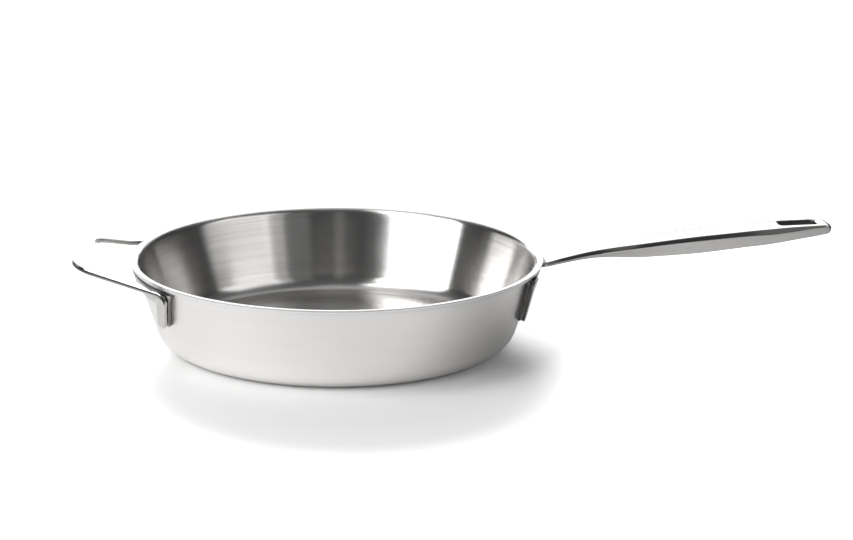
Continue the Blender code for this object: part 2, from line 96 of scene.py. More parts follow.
# Long handle's legs and arms: (length, angle at the top, angle at the bottom, width)
LONG_LEG = (0.0310, radians(26.0), radians(22.4), 0.0052)
LONG_ARM_HEIGHT = 0.0052
LONG_ARM_THICKNESS = 0.0022
LONG_ARM_CORNER = 0.0035
LONG_ARM_STEP_START = radians(19.0)
LONG_ARM_STEP_END = radians(23.4)
LONG_ARM_STEP_FOLDS = 6
LONG_ARM_ALLOWANCE = 0.0003
LONG_CROSSBAR = 0.0085

# Long handle's bar: distance from the rim's edge, width, depth and rise over the brackets' top
HANDLE_KNOTS = (
    (0.0, 0.0220, 0.0046, -0.0010),
    (0.0045, 0.0200, 0.0050, -0.0003),
    (0.0153, 0.0180, 0.0057, 0.0024),
    (0.0353, 0.0164, 0.0069, 0.0067),
    (0.0775, 0.0224, 0.0127, 0.0131),
    (0.1180, 0.0244, 0.0149, 0.0180),
    (0.1553, 0.0250, 0.0141, 0.0213),
    (0.1903, 0.0226, 0.0104, 0.0226),
    (0.2083, 0.0200, 0.0076, 0.0228),
)

# Its leaning side band: distance, top edge's radius, crease's depth under the top, and the top's crown
BAND_KNOTS = (
    (0.0, 0.0004, 0.0026, 0.0006),
    (0.0270, 0.0005, 0.0037, 0.0011),
    (0.0550, 0.0005, 0.0043, 0.0012),
    (0.0830, 0.0005, 0.0044, 0.0013),
    (0.1110, 0.0006, 0.0048, 0.0014),
    (0.1400, 0.0006, 0.0052, 0.0017),
    (0.1610, 0.0006, 0.0054, 0.0014),
    (0.1800, 0.0005, 0.0042, 0.0009),
    (0.1940, 0.0005, 0.0026, 0.0006),
    (0.2083, 0.0004, 0.0018, 0.0003),
)
BAND_DEEPEST_SHARE = 0.8
BAND_LEAN_BOTTOM = radians(8.0)
BAND_LEAN_TOP = radians(25.0)
KEEL_SHARE = 0.55
CROWN_STEPS = 5
BAND_STEPS = 5
HULL_STEPS = 9
ROOT_WIDTH = 0.0420

# Its tip: a rounded outline, a top that slopes down to the end, and a keel that is rounded up to it
HANDLE_LENGTH = HANDLE_KNOTS[-1][0]
TIP_CORNER_RADIUS = 0.0048
TIP_SLOPE_LENGTH = 0.0044
TIP_SLOPE_FALL = 0.0024
TIP_SLOPE_POWER = 1.25
TIP_KEEL_ROUND = (0.0030, 0.0014)
HANDLE_STATIONS = 84
HANDLE_CROWDING = 1.3
TIP_STATIONS = 10

# Hanging slot
SLOT_LENGTH = 0.0285
SLOT_WIDTH = 0.0140
SLOT_CORNER_RADIUS = 0.0035
SLOT_END_LAND = 0.0096
SLOT_RIM = 0.0005
SLOT_SIDE_DROP = 0.0004
SLOT_FACE_SLANT = 0.5

# Helper handle
HELPER_REACH = 0.0382
HELPER_GRIP_WIDTH = 0.0140
HELPER_THICKNESS = 0.0034
HELPER_TAB_THICKNESS = 0.0029
HELPER_SLOPE = 0.211
HELPER_BELOW_RIM = 0.0006
HELPER_BEND_DROP = 0.0072
HELPER_BEND_FULLNESS = 1.1
HELPER_EDGE_RADIUS = 0.0004

# Its tabs: (length, angle at the top, angle at the bottom, width)
HELPER_LEG = (0.0265, radians(32.2), radians(26.3), 0.0113)

# Its edges: (where the bend starts outside the rim, that place's angle, the arm's splay, corner radius)
HELPER_OUTER_EDGE = (0.0022, radians(30.8), radians(29.8), 0.0300)
HELPER_INNER_EDGE = (0.0095, radians(19.5), radians(19.0), 0.0120)
GRIP_STATIONS = 8
CORNER_STATIONS = 48
ARM_STATIONS = 8
BEND_STATIONS = 60
LOOP_SECTIONS = 150
TAB_STATIONS = 6
TAB_CORNER_STATIONS = 6

# Meshing
MERGE_DISTANCE = 0.00001
CUT_TOLERANCE = 0.00002
SHARP_EDGE = radians(32)
STRAP_SHARP_EDGE = radians(50)
LIP_SHARP_EDGE = radians(60)
ARC_SEGMENTS = 6
EDGE_SEGMENTS = 3


def wall_radius(z, off=0.0):
    """Radius of the wall's outer face at height z, or of the cone that stands off it by off."""
    tangent_radius = LIP_CENTRE_RADIUS - LIP_BEND_RADIUS * cos(WALL_FLARE)
    tangent_height = LIP_CENTRE_HEIGHT + LIP_BEND_RADIUS * sin(WALL_FLARE)
    return tangent_radius - (tangent_height - z) * tan(WALL_FLARE) + off / cos(WALL_FLARE)


BASE_FLAT_RADIUS = wall_radius(CORNER_RADIUS * (1 - sin(WALL_FLARE))) - CORNER_RADIUS * cos(WALL_FLARE)


# Making pieces


def made_piece(name, bm, finishes, slot, *nodes):
    """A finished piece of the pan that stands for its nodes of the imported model."""
    mesh = bpy.data.meshes.new(name)
    bm.to_mesh(mesh)
    bm.free()
    for material in finishes:
        mesh.materials.append(material)
    mesh.shade_smooth()
    mesh.set_sharp_from_angle(angle=SHARP_EDGE)
    piece = bpy.data.objects.new(name, mesh)
    bpy.context.scene.collection.objects.link(piece)
    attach(piece, "root")
    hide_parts(*nodes)
    return piece


def tool_object(name, bm):
    """A shape that only cuts or joins another piece."""
    mesh = bpy.data.meshes.new(name)
    bm.to_mesh(mesh)
    bm.free()
    tool = bpy.data.objects.new(name, mesh)
    bpy.context.scene.collection.objects.link(tool)
    return tool


def combined(base, tool, operation):
    """The base's mesh with the tool joined to it or cut from it. Both are used up."""
    modifier = base.modifiers.new(operation.title(), "BOOLEAN")
    modifier.operation = operation
    modifier.solver = "EXACT"
    modifier.object = tool
    graph = bpy.context.evaluated_depsgraph_get()
    mesh = bpy.data.meshes.new_from_object(base.evaluated_get(graph))
    bm = bmesh.new()
    bm.from_mesh(mesh)
    for item in (base, tool):
        bpy.data.objects.remove(item, do_unlink=True)
    return bm


def drawn_to(bm, vert, radius, height):
    """A straight stretch of a section from vert, and the vertex at its end."""
    end = bmesh.ops.extrude_vert_indiv(bm, verts=[vert])["verts"][0]
    end.co = (radius, 0.0, height)
    return end


def swung_round(bm, vert, centre, angle, steps):
    """An arc of a section from vert round a centre, and the vertex at its end."""
    middle = (centre[0], 0.0, centre[1])
    turned = bmesh.ops.spin(bm, geom=[vert], cent=middle, axis=(0.0, 1.0, 0.0), angle=angle, steps=steps)
    return next(item for item in turned["geom_last"] if isinstance(item, bmesh.types.BMVert))


def sharp_edges(bm, least):
    """Edges whose two faces turn by more than an angle."""
    return [edge for edge in bm.edges if len(edge.link_faces) == 2 and edge.calc_face_angle() > least]


def rounded_edges(bm, edges, width, segments=EDGE_SEGMENTS):
    """Edges broken to a small round."""
    bmesh.ops.bevel(
        bm,
        geom=edges,
        offset=width,
        segments=segments,
        profile=0.5,
        affect="EDGES",
        material=-1,
        clamp_overlap=True,
    )


def rounded_corners(bm, verts, offset):
    """Corners of a flat outline turned into arcs that start this far from them."""
    bmesh.ops.bevel(
        bm,
        geom=verts,
        offset=offset,
        segments=ARC_SEGMENTS,
        profile=0.5,
        affect="VERTICES",
        material=-1,
    )


def mirrored(bm):
    """The half that is there joined to its mirror image across the pan's middle."""
    everything = bm.verts[:] + bm.edges[:] + bm.faces[:]
    bmesh.ops.mirror(bm, geom=everything, matrix=Matrix(), merge_dist=MERGE_DISTANCE, axis="Y")
    bmesh.ops.remove_doubles(bm, verts=bm.verts[:], dist=MERGE_DISTANCE)
    bmesh.ops.recalc_face_normals(bm, faces=bm.faces[:])


def pulled_through(sections, cap_start=True):
    """A bar whose end face is extruded from each section to the next."""
    bm = bmesh.new()
    face = bm.faces.new([bm.verts.new(point) for point in sections[0]])
    if cap_start:
        face.copy()
    for section in sections[1:]:
        pulled = bmesh.ops.extrude_discrete_faces(bm, faces=[face])
        face = pulled["faces"][0]
        for vert, point in zip(face.verts, section):
            vert.co = point
    if cap_start:
        bmesh.ops.remove_doubles(bm, verts=bm.verts[:], dist=MERGE_DISTANCE)
    bmesh.ops.recalc_face_normals(bm, faces=bm.faces[:])
    return bm


def smooth_between(knots, x):
    """Value at x of a smooth curve through knots of (x, value) that never overshoots them."""
    slopes = []
    for index in range(len(knots)):
        before = knots[max(index - 1, 0)]
        here = knots[index]
        after = knots[min(index + 1, len(knots) - 1)]
        left = (here[1] - before[1]) / (here[0] - before[0]) if here[0] > before[0] else None
        right = (after[1] - here[1]) / (after[0] - here[0]) if after[0] > here[0] else None
        if left is None or right is None:
            slopes.append(right if left is None else left)
        elif left * right <= 0:
            slopes.append(0.0)
        else:
            slopes.append(2 * left * right / (left + right))
    for index in range(len(knots) - 1):
        x0, y0 = knots[index]
        x1, y1 = knots[index + 1]
        if x <= x1 or index == len(knots) - 2:
            span = x1 - x0
            t = min(max((x - x0) / span, 0.0), 1.0)
            return (
                (2 * t**3 - 3 * t**2 + 1) * y0
                + (t**3 - 2 * t**2 + t) * span * slopes[index]
                + (3 * t**2 - 2 * t**3) * y1
                + (t**3 - t**2) * span * slopes[index + 1]
            )
    return knots[-1][1]


# Vessel


def sheet_layer(name, depth, thickness, material, layer):
    """One sheet of the clad vessel, spun from its section and given its thickness."""
    bm = bmesh.new()
    reach = CORNER_RADIUS - depth
    lip_reach = LIP_BEND_RADIUS + depth
    end = bm.verts.new((0.0, 0.0, depth))
    end = drawn_to(bm, end, BASE_FLAT_RADIUS, depth)
    end = swung_round(bm, end, (BASE_FLAT_RADIUS, CORNER_RADIUS), -(pi / 2 - WALL_FLARE), CORNER_STEPS)
    lip_start = (
        LIP_CENTRE_RADIUS - lip_reach * cos(WALL_FLARE),
        LIP_CENTRE_HEIGHT + lip_reach * sin(WALL_FLARE),
    )
    end = drawn_to(bm, end, *lip_start)
    swung_round(bm, end, (LIP_CENTRE_RADIUS, LIP_CENTRE_HEIGHT), LIP_END_ANGLE - WALL_FLARE, LIP_STEPS)
    straight = [edge for edge in bm.edges if edge.calc_length() > reach]
    bmesh.ops.subdivide_edges(bm, edges=straight, cuts=STRAIGHT_CUTS)
    bmesh.ops.spin(
        bm,
        geom=bm.verts[:] + bm.edges[:],
        cent=(0.0, 0.0, 0.0),
        axis=(0.0, 0.0, 1.0),
        angle=2 * pi,
        steps=ROUND_STEPS,
        use_merge=True,
    )
    bmesh.ops.remove_doubles(bm, verts=bm.verts[:], dist=MERGE_DISTANCE)
    bmesh.ops.recalc_face_normals(bm, faces=bm.faces[:])
    bm.normal_update()
    floor = min(bm.faces, key=lambda face: face.calc_center_median().xy.length)
    if floor.normal.z > 0:
        bmesh.ops.reverse_faces(bm, faces=bm.faces[:])
    bmesh.ops.solidify(bm, geom=bm.faces[:], thickness=thickness)
    bmesh.ops.recalc_face_normals(bm, faces=bm.faces[:])
    rounded_edges(bm, sharp_edges(bm, LIP_SHARP_EDGE), LIP_EDGE_BREAK, LIP_EDGE_SEGMENTS)
    return made_piece(name, bm, [material], layer, layer)


def vessel(materials):
    """The three sheets, grown over their bonds so that only a hairline parts them at the lip."""
    core_start = OUTER_STEEL + BOND / 2
    core_end = SHEET - INNER_STEEL - BOND / 2
    for name, depth, thickness, finish, layer in (
        ("outside_skin", 0.0, core_start - SEAM, "satin", "outer_steel_layer"),
        ("core_sheet", core_start, core_end - core_start, "core", "aluminium_core"),
        ("inside_skin", core_end + SEAM, SHEET - core_end - SEAM, "brushed", "inner_steel_layer"),
    ):
        sheet_layer(name, depth, thickness, materials[finish], layer)


# Straps that follow the wall


def strap_corners(leg, bar_drop, bar_height, corner, flare=0.0):
    """Corners of half a strap with one leg, unrolled: ((distance round the wall, height), corner radius)."""
    length, top_angle, bottom_angle, width = leg
    radius = wall_radius(BRACKET_TOP)
    bottom = BRACKET_TOP - length
    bar_top = BRACKET_TOP - bar_drop
    bar_bottom = bar_top - bar_height

    def middle(z):
        return radius * (bottom_angle + (top_angle - bottom_angle) * (z - bottom) / length)

    corners = [((0.0, bar_top), 0.0)]
    if bar_drop > 0.0:
        corners.append(((middle(bar_top) - width / 2, bar_top), CROTCH_RADIUS / 2))
        corners.append(((middle(BRACKET_TOP) - width / 2, BRACKET_TOP), corner))
    corners.append(((middle(BRACKET_TOP) + width / 2 + flare, BRACKET_TOP), corner))
    if flare > 0.0:
        neck = BRACKET_TOP - BRACKET_FLARE_DROP
        corners.append(((middle(neck) + width / 2, neck), 0.0))
    corners += [
        ((middle(bottom) + width / 2, bottom), LEG_CORNER_RADIUS),
        ((middle(bottom) - width / 2, bottom), LEG_CORNER_RADIUS),
        ((middle(bar_bottom) - width / 2, bar_bottom), CROTCH_RADIUS),
        ((0.0, bar_bottom), 0.0),
    ]
    return corners


def half_angle_at(corners, index):
    """Half the angle inside an outline's corner."""
    here = Vector(corners[index][0])
    back = (Vector(corners[index - 1][0]) - here).normalized()
    ahead = (Vector(corners[(index + 1) % len(corners)][0]) - here).normalized()
    return acos(max(-1.0, min(1.0, back.dot(ahead)))) / 2


def wrapped_strap(corners, off, folds, thickness, facing):
    """A strap cut to its outline, bent round the wall, mirrored and given its thickness."""
    bm = bmesh.new()
    verts = [bm.verts.new((place[0], place[1], 0.0)) for place, _ in corners]
    bm.faces.new(verts)
    for index, (vert, (_, radius)) in enumerate(zip(verts, corners)):
        if radius > 0.0:
            rounded_corners(bm, [vert], radius / tan(half_angle_at(corners, index)))
    radius = wall_radius(BRACKET_TOP)
    strips = int(max(vert.co.x for vert in bm.verts) / radius / STRIP_ANGLE) + 1
    for angle in [*(STRIP_ANGLE * step for step in range(1, strips)), *folds]:
        bmesh.ops.bisect_plane(
            bm,
            geom=bm.verts[:] + bm.edges[:] + bm.faces[:],
            dist=CUT_TOLERANCE,
            plane_co=(radius * angle, 0.0, 0.0),
            plane_no=(1.0, 0.0, 0.0),
        )
    for vert in bm.verts:
        angle = vert.co.x / radius
        height = vert.co.y
        reach = wall_radius(height, off(angle, height))
        vert.co = (facing * reach * cos(angle), reach * sin(angle), height)
    mirrored(bm)
    bm.normal_update()
    if sum(face.normal.x * facing for face in bm.faces) > 0:
        bmesh.ops.reverse_faces(bm, faces=bm.faces[:])
    bmesh.ops.solidify(bm, geom=bm.faces[:], thickness=thickness)
    bmesh.ops.recalc_face_normals(bm, faces=bm.faces[:])
    return bm


def cut_faces(bm):
    """The strap's faces that stand square to the wall, where its outline was cut."""
    found = []
    for face in bm.faces:
        middle = face.calc_center_median()
        on_strap = middle.z < BRACKET_TOP and middle.xy.length < wall_radius(middle.z) + STRAP_REACH
        if on_strap and abs(face.normal.xy.dot(middle.xy.normalized())) < CUT_FACE_SLANT:
            found.append(face)
    return found


def brackets(materials):
    """The pressed straps that are spot-welded to the wall under each handle."""

    def on_wall_face(_angle, _height):
        return BRACKET_GAP

    corner = LEG_CORNER_RADIUS / 2
    long_corners = strap_corners(LONG_LEG, LONG_ARM_HEIGHT + TAB_GAP, LONG_CROSSBAR, corner, BRACKET_FLARE)
    helper_corners = strap_corners(HELPER_LEG, 0.0, BRACKET_BAND, corner, BRACKET_FLARE)
    for name, node, corners, facing in (
        ("long_bracket_strap", "long_handle_bracket", long_corners, 1),
        ("helper_bracket_strap", "helper_handle_bracket", helper_corners, -1),
    ):
        bm = wrapped_strap(corners, on_wall_face, [], BRACKET_THICKNESS, facing)
        rounded_edges(bm, sharp_edges(bm, STRAP_SHARP_EDGE), PRESSED_EDGE)
        bm.normal_update()
        # Cut faces get the dark cut-face steel: partly a sheared edge's own tone, partly painted shade
        for face in cut_faces(bm):
            face.material_index = 1
        made_piece(name, bm, [materials["bracket"], materials["cut_and_shade"]], node, node)


# Long handle


def knot_value(knots, column, distance):
    """One column of a table of knots, at a distance from the rim's edge."""
    return smooth_between([(knot[0], knot[column]) for knot in knots], distance)


def drawn_in(distance, length, inset):
    """How far the tip's rounding, of this length and final inset, has drawn in at a distance."""
    past = max(distance - (HANDLE_LENGTH - length), 0.0) / length
    return inset * (1 - sqrt(max(1 - past**2, 0.0)))


def handle_at(distance):
    """The bar's half width, depth and top height at a distance from the rim's edge."""
    width, depth, rise = (knot_value(HANDLE_KNOTS, column, distance) for column in (1, 2, 3))
    width -= 2 * drawn_in(distance, TIP_CORNER_RADIUS, TIP_CORNER_RADIUS)
    past = max(distance - (HANDLE_LENGTH - TIP_SLOPE_LENGTH), 0.0) / TIP_SLOPE_LENGTH
    fall = TIP_SLOPE_FALL * past**TIP_SLOPE_POWER
    return width / 2, depth - fall - drawn_in(distance, *TIP_KEEL_ROUND), BRACKET_TOP + rise - fall


def hull_section(half, depth, edge, band, crown):
    """The bar's section: crowned top, leaning side band, and a hull that narrows to a flat keel."""
    band = min(band, depth * BAND_DEEPEST_SHARE)
    crown = min(crown, band / 3)
    edge = min(edge, (band - crown) / 2)
    height = band - edge - crown
    bottom_slope = tan(BAND_LEAN_BOTTOM)
    bend = (tan(BAND_LEAN_TOP) - bottom_slope) / (2 * height)
    lean = height * (bottom_slope + bend * height)
    keel = half * KEEL_SHARE
    top_half = half - lean - edge * cos(BAND_LEAN_TOP)
    side = []
    for step in range(1, CROWN_STEPS):
        side.append((top_half * step / CROWN_STEPS, -crown * (step / CROWN_STEPS) ** 2))
    for step in range(EDGE_SEGMENTS + 1):
        turn = (pi / 2 - BAND_LEAN_TOP) * step / EDGE_SEGMENTS
        side.append((top_half + edge * sin(turn), edge * (cos(turn) - 1) - crown))
    start = side[-1]
    for step in range(1, BAND_STEPS + 1):
        up = height * (1 - step / BAND_STEPS)
        down = start[1] + (-band - start[1]) * step / BAND_STEPS
        side.append((half - up * (bottom_slope + bend * up), down))
    for step in range(1, HULL_STEPS + 1):
        share = step / HULL_STEPS
        bulge = sin(share * pi / 2)
        across = half - (half - keel) * (share + 1 - sqrt(max(1 - share**2, 0.0))) / 2
        side.append((across, -band - (depth - band) * (share + bulge) / 2))
    return side + [(-y, z) for y, z in reversed(side)]


def bar_section(distance):
    """The bar's section at a distance from the rim's edge."""
    half, depth, top = handle_at(distance)
    edge, band, crown = (knot_value(BAND_KNOTS, column, distance) for column in (1, 2, 3))
    section = hull_section(half, depth, edge, band, crown)
    return [Vector((LIP_OUTER_RADIUS + distance, y, top + z)) for y, z in section]


def root_section():
    """The bar's first section, a straight cut that slopes with the wall and lies inside the arms."""
    off = BRACKET_GAP + LONG_ARM_THICKNESS / 4
    _, depth, top = handle_at(0.0)
    _, edge, band, crown = BAND_KNOTS[0]
    section = hull_section(ROOT_WIDTH / 2, depth, edge, band, crown)
    return [Vector((wall_radius(top + z, off), y, top + z)) for y, z in section]


def arm_off(angle, height):
    """The arms' distance from the wall: against it in the middle, and stepped out over the bracket's legs."""
    if height < BRACKET_TOP - LONG_ARM_HEIGHT - LONG_ARM_ALLOWANCE:
        return TAB_OFF
    share = (angle - LONG_ARM_STEP_START) / (LONG_ARM_STEP_END - LONG_ARM_STEP_START)
    share = min(max(share, 0.0), 1.0)
    return BRACKET_GAP + (TAB_OFF - BRACKET_GAP) * share * share * (3 - 2 * share)


def slot_cutter():
    """A rounded box through the tip, flared where it meets the top so that the slot's rim is broken."""
    middle = LIP_OUTER_RADIUS + HANDLE_LENGTH - SLOT_END_LAND - SLOT_LENGTH / 2
    bm = bmesh.new()
    bmesh.ops.create_grid(bm, x_segments=1, y_segments=1, size=0.5)
    bmesh.ops.scale(bm, vec=(SLOT_LENGTH, SLOT_WIDTH, 1.0), verts=bm.verts[:])
    rounded_corners(bm, bm.verts[:], SLOT_CORNER_RADIUS)
    _, depth, top = handle_at(HANDLE_LENGTH - SLOT_END_LAND - SLOT_LENGTH / 2)
    bmesh.ops.translate(bm, vec=(middle, 0.0, top - 2 * depth), verts=bm.verts[:])
    face = bm.faces[:][0]
    side = top - SLOT_SIDE_DROP
    for rise, grow in ((side - SLOT_RIM, 0.0), (side, SLOT_RIM), (top + SLOT_RIM, 2 * SLOT_RIM)):
        face = bmesh.ops.extrude_discrete_faces(bm, faces=[face])["faces"][0]
        for vert in face.verts:
            outwards = Vector((vert.co.x - middle, vert.co.y, 0.0))
            outwards.x = max(-1.0, min(1.0, outwards.x / (SLOT_LENGTH / 2))) * grow
            outwards.y = max(-1.0, min(1.0, outwards.y / (SLOT_WIDTH / 2))) * grow
            vert.co += outwards
            vert.co.z = rise
    return bm


def slot_faces(bm):
    """The upright faces inside the hanging slot."""
    start = LIP_OUTER_RADIUS + HANDLE_LENGTH - SLOT_END_LAND - SLOT_LENGTH
    found = []
    for face in bm.faces:
        middle = face.calc_center_median()
        along_slot = start - SLOT_RIM < middle.x < start + SLOT_LENGTH + SLOT_RIM
        across_slot = abs(middle.y) < SLOT_WIDTH / 2 + SLOT_RIM / 2
        if along_slot and across_slot and abs(face.normal.z) < SLOT_FACE_SLANT:
            found.append(face)
    return found


def long_handle(materials):
    """The bar from root to tip, joined to its forked strap, with the hanging slot cut through it."""
    body_end = HANDLE_LENGTH - TIP_CORNER_RADIUS
    distances = []
    for step in range(HANDLE_STATIONS + 1):
        distances.append(body_end * (step / HANDLE_STATIONS) ** HANDLE_CROWDING)
    for step in range(1, TIP_STATIONS + 1):
        distances.append(body_end + TIP_CORNER_RADIUS * sin(pi / 2 * step / TIP_STATIONS))
    bar = pulled_through([root_section()] + [bar_section(distance) for distance in distances])
    corners = strap_corners(LONG_LEG, 0.0, LONG_ARM_HEIGHT, LONG_ARM_CORNER)
    step_width = LONG_ARM_STEP_END - LONG_ARM_STEP_START
    folds = []
    for fold in range(LONG_ARM_STEP_FOLDS + 1):
        folds.append(LONG_ARM_STEP_START + step_width * fold / LONG_ARM_STEP_FOLDS)
    fork = wrapped_strap(corners, arm_off, folds, LONG_ARM_THICKNESS, 1)
    rounded_edges(fork, sharp_edges(fork, STRAP_SHARP_EDGE), PRESSED_EDGE)
    joined = combined(tool_object("bar_tool", bar), tool_object("fork_tool", fork), "UNION")
    slot = tool_object("slot_tool", slot_cutter())
    cut = combined(tool_object("joined_tool", joined), slot, "DIFFERENCE")
    # Slot walls get the dark cut-face steel as painted shade in the slot; the fork's cut faces get it as a
    # sheared edge's tone and painted shade
    for face in slot_faces(cut) + cut_faces(cut):
        face.material_index = 1
    finishes = [materials["polished"], materials["cut_and_shade"]]
    return made_piece("long_handle_bar", cut, finishes, "long_handle", "long_handle")


# Helper handle


def helper_plane(x):
    """Height of the loop's top face at a distance x from the axis."""
    return VESSEL_HEIGHT - HELPER_BELOW_RIM + HELPER_SLOPE * (x - LIP_OUTER_RADIUS)


def loop_edge(grip_x, edge):
    """One edge of the loop, from the middle of the grip to where the arm starts to bend."""
    bend_out, arm_angle, splay, corner = edge
    bend_radius = LIP_OUTER_RADIUS + bend_out
    end = Vector((bend_radius * cos(arm_angle), bend_radius * sin(arm_angle)))
    turn = Vector((grip_x, end.y - (grip_x - end.x) * tan(splay)))
    along = (end - turn).normalized()
    tangent = corner * tan((pi / 2 - splay) / 2)
    start_arc = turn - Vector((0.0, tangent))
    end_arc = turn + along * tangent
    centre = Vector((grip_x - corner, start_arc.y))
    points = [Vector((grip_x, start_arc.y * step / GRIP_STATIONS)) for step in range(GRIP_STATIONS)]
    for step in range(CORNER_STATIONS + 1):
        angle = (pi / 2 - splay) * step / CORNER_STATIONS
        points.append(centre + corner * Vector((cos(angle), sin(angle))))
    for step in range(1, ARM_STATIONS + 1):
        points.append(end_arc.lerp(end, step / ARM_STATIONS))
    return [Vector((point.x, point.y, helper_plane(point.x))) for point in points], along


def on_wall(angle, height, off):
    """A place that stands off the wall, where angle is measured from the handles' line."""
    reach = wall_radius(height, off)
    return Vector((reach * cos(angle), reach * sin(angle), height))


def evenly_spaced(path, count):
    """Points along a path at equal steps of its length."""
    lengths = [(b - a).length for a, b in zip(path, path[1:])]
    stride = sum(lengths) / count
    points = [path[0]]
    index = 0
    done = 0.0
    for step in range(1, count):
        while done + lengths[index] < stride * step:
            done += lengths[index]
            index += 1
        points.append(path[index].lerp(path[index + 1], (stride * step - done) / lengths[index]))
    return points + [path[-1]]


def edge_path(loop, along, tab_side):
    """An edge of the handle's top face, round the bend and down the tab, where tab_side is +1 outside."""
    leg_length, top_angle, bottom_angle, width = HELPER_LEG
    bend_start = loop[-1]
    tab_top = BRACKET_TOP - HELPER_BEND_DROP
    tab_bottom = BRACKET_TOP - leg_length

    def tab_angle(height):
        middle = bottom_angle + (top_angle - bottom_angle) * (height - tab_bottom) / leg_length
        return middle + tab_side * width / 2 / wall_radius(BRACKET_TOP)

    tab_start = on_wall(tab_angle(tab_top), tab_top, TAB_OFF)
    tab_end = on_wall(tab_angle(tab_bottom), tab_bottom, TAB_OFF)
    fullness = (tab_start - bend_start).length * HELPER_BEND_FULLNESS
    into_bend = Vector((along.x, along.y, HELPER_SLOPE * along.x)).normalized() * fullness
    out_of_bend = (tab_end - tab_start).normalized() * fullness
    path = list(loop)
    for step in range(1, BEND_STATIONS + 1):
        t = step / BEND_STATIONS
        path.append(
            bend_start * (2 * t**3 - 3 * t**2 + 1)
            + into_bend * (t**3 - 2 * t**2 + t)
            + tab_start * (3 * t**2 - 2 * t**3)
            + out_of_bend * (t**3 - t**2)
        )
    path = evenly_spaced(path, LOOP_SECTIONS)
    straight = tab_bottom + LEG_CORNER_RADIUS
    for step in range(1, TAB_STATIONS + 1):
        height = tab_top + (straight - tab_top) * step / TAB_STATIONS
        path.append(on_wall(tab_angle(height), height, TAB_OFF))
    for step in range(1, TAB_CORNER_STATIONS + 1):
        turn = pi / 2 * step / TAB_CORNER_STATIONS
        height = straight - LEG_CORNER_RADIUS * sin(turn)
        inset = LEG_CORNER_RADIUS * (1 - cos(turn)) / wall_radius(height)
        path.append(on_wall(tab_angle(height) - tab_side * inset, height, TAB_OFF))
    return path


def heading_at(path, index):
    """The way that a path runs at one of its points, straight across the pan's middle at its first."""
    if index == 0:
        return Vector((0.0, 1.0, 0.0))
    return (path[min(index + 1, len(path) - 1)] - path[index - 1]).normalized()


def square_to(heading, across):
    """Outwards and down for an edge: in the loop's plane on the arms, and along the wall on the tabs."""
    level = heading.cross(Vector((-HELPER_SLOPE, 0.0, 1.0)).normalized())
    out = level + across * (1 - level.length)
    out = (out - heading * out.dot(heading)).normalized()
    return out, heading.cross(out)


def plate_section(outer, inner, outer_heading, inner_heading, thick):
    """The plate's section between its two top edges, with its long edges rounded."""
    across = (outer - inner).normalized()
    out, down = square_to(outer_heading, across)
    back, under = square_to(inner_heading, across)
    radius = HELPER_EDGE_RADIUS
    corners = (
        (outer - out * radius + down * radius, -down, out),
        (outer - out * radius + down * (thick - radius), out, down),
        (inner + back * radius + under * (thick - radius), under, -back),
        (inner + back * radius + under * radius, -back, -under),
    )
    section = []
    for centre, start, end in corners:
        for step in range(EDGE_SEGMENTS + 1):
            turn = pi / 2 * step / EDGE_SEGMENTS
            section.append(centre + radius * (start * cos(turn) + end * sin(turn)))
    return section


def helper_handle(materials):
    """The loop of plate, from the middle of its grip down one tab, and mirrored."""
    grip_x = LIP_OUTER_RADIUS + HELPER_REACH
    outer_loop, outer_along = loop_edge(grip_x, HELPER_OUTER_EDGE)
    inner_loop, inner_along = loop_edge(grip_x - HELPER_GRIP_WIDTH, HELPER_INNER_EDGE)
    outer = edge_path(outer_loop, outer_along, 1)
    inner = edge_path(inner_loop, inner_along, -1)
    sections = []
    for index in range(len(outer)):
        thinning = min(max(2 * index / LOOP_SECTIONS - 1, 0.0), 1.0)
        thick = HELPER_THICKNESS + (HELPER_TAB_THICKNESS - HELPER_THICKNESS) * thinning
        straight = min(index, len(outer) - 1 - TAB_CORNER_STATIONS)
        headings = (heading_at(outer, straight), heading_at(inner, straight))
        section = plate_section(outer[index], inner[index], *headings, thick)
        sections.append([Vector((-point.x, point.y, point.z)) for point in section])
    bm = pulled_through(sections, cap_start=False)
    start = [face for face in bm.faces if max(abs(vert.co.y) for vert in face.verts) < MERGE_DISTANCE]
    bmesh.ops.delete(bm, geom=start, context="FACES_ONLY")
    mirrored(bm)
    return made_piece("helper_handle_loop", bm, [materials["polished"]], "helper_handle", "helper_handle")


# Finishes

# Turned grain: the radius where its length is measured, its least radius, and how its streaks are scaled
GRAIN_MEASURED_RADIUS = 0.13
GRAIN_LEAST_RADIUS = 0.001
STREAK_ROUND_SCALE = 0.5
STREAK_ACROSS_SCALE = 0.3
GROOVE_DETAIL = 3.0
STREAK_DETAIL = 2.0
CLOUD_DETAIL = 2.0
NOISE_RANGE = (0.3, 0.7)
ROUGHNESS_SPREAD = 0.08
GRAIN_TURN = 0.25

# Turned finishes: name, colour, roughness, anisotropy, groove depth, pitch, cloud size, spread, groove length
TURNED_STEELS = {
    "satin": ("satin_steel", (0.82, 0.81, 0.80), 0.36, 0.5, 0.000012, 0.0007, 0.04, 0.015, 0.06),
    "brushed": ("brushed_steel", (0.61, 0.60, 0.59), 0.2, 0.95, 0.000012, 0.0005, 0.03, 0.06, 0.09),
    "core": ("aluminium", (0.80, 0.80, 0.81), 0.35, 0.3, 0.00001, 0.0004, 0.02, 0.03, 0.02),
    # Cut-face steel: a sheared edge's darker tone, made far darker as painted shade on cut faces and inside
    # the hanging slot
    "cut_and_shade": ("cut_and_shade_steel", (0.20, 0.195, 0.19), 0.32, 0.0, 0.00001, 0.0004, 0.004, 0.1, 0.02),
    "bracket": ("bracket_steel", (0.50, 0.49, 0.48), 0.22, 0.0, 0.00001, 0.002, 0.01, 0.03, 0.02),
}

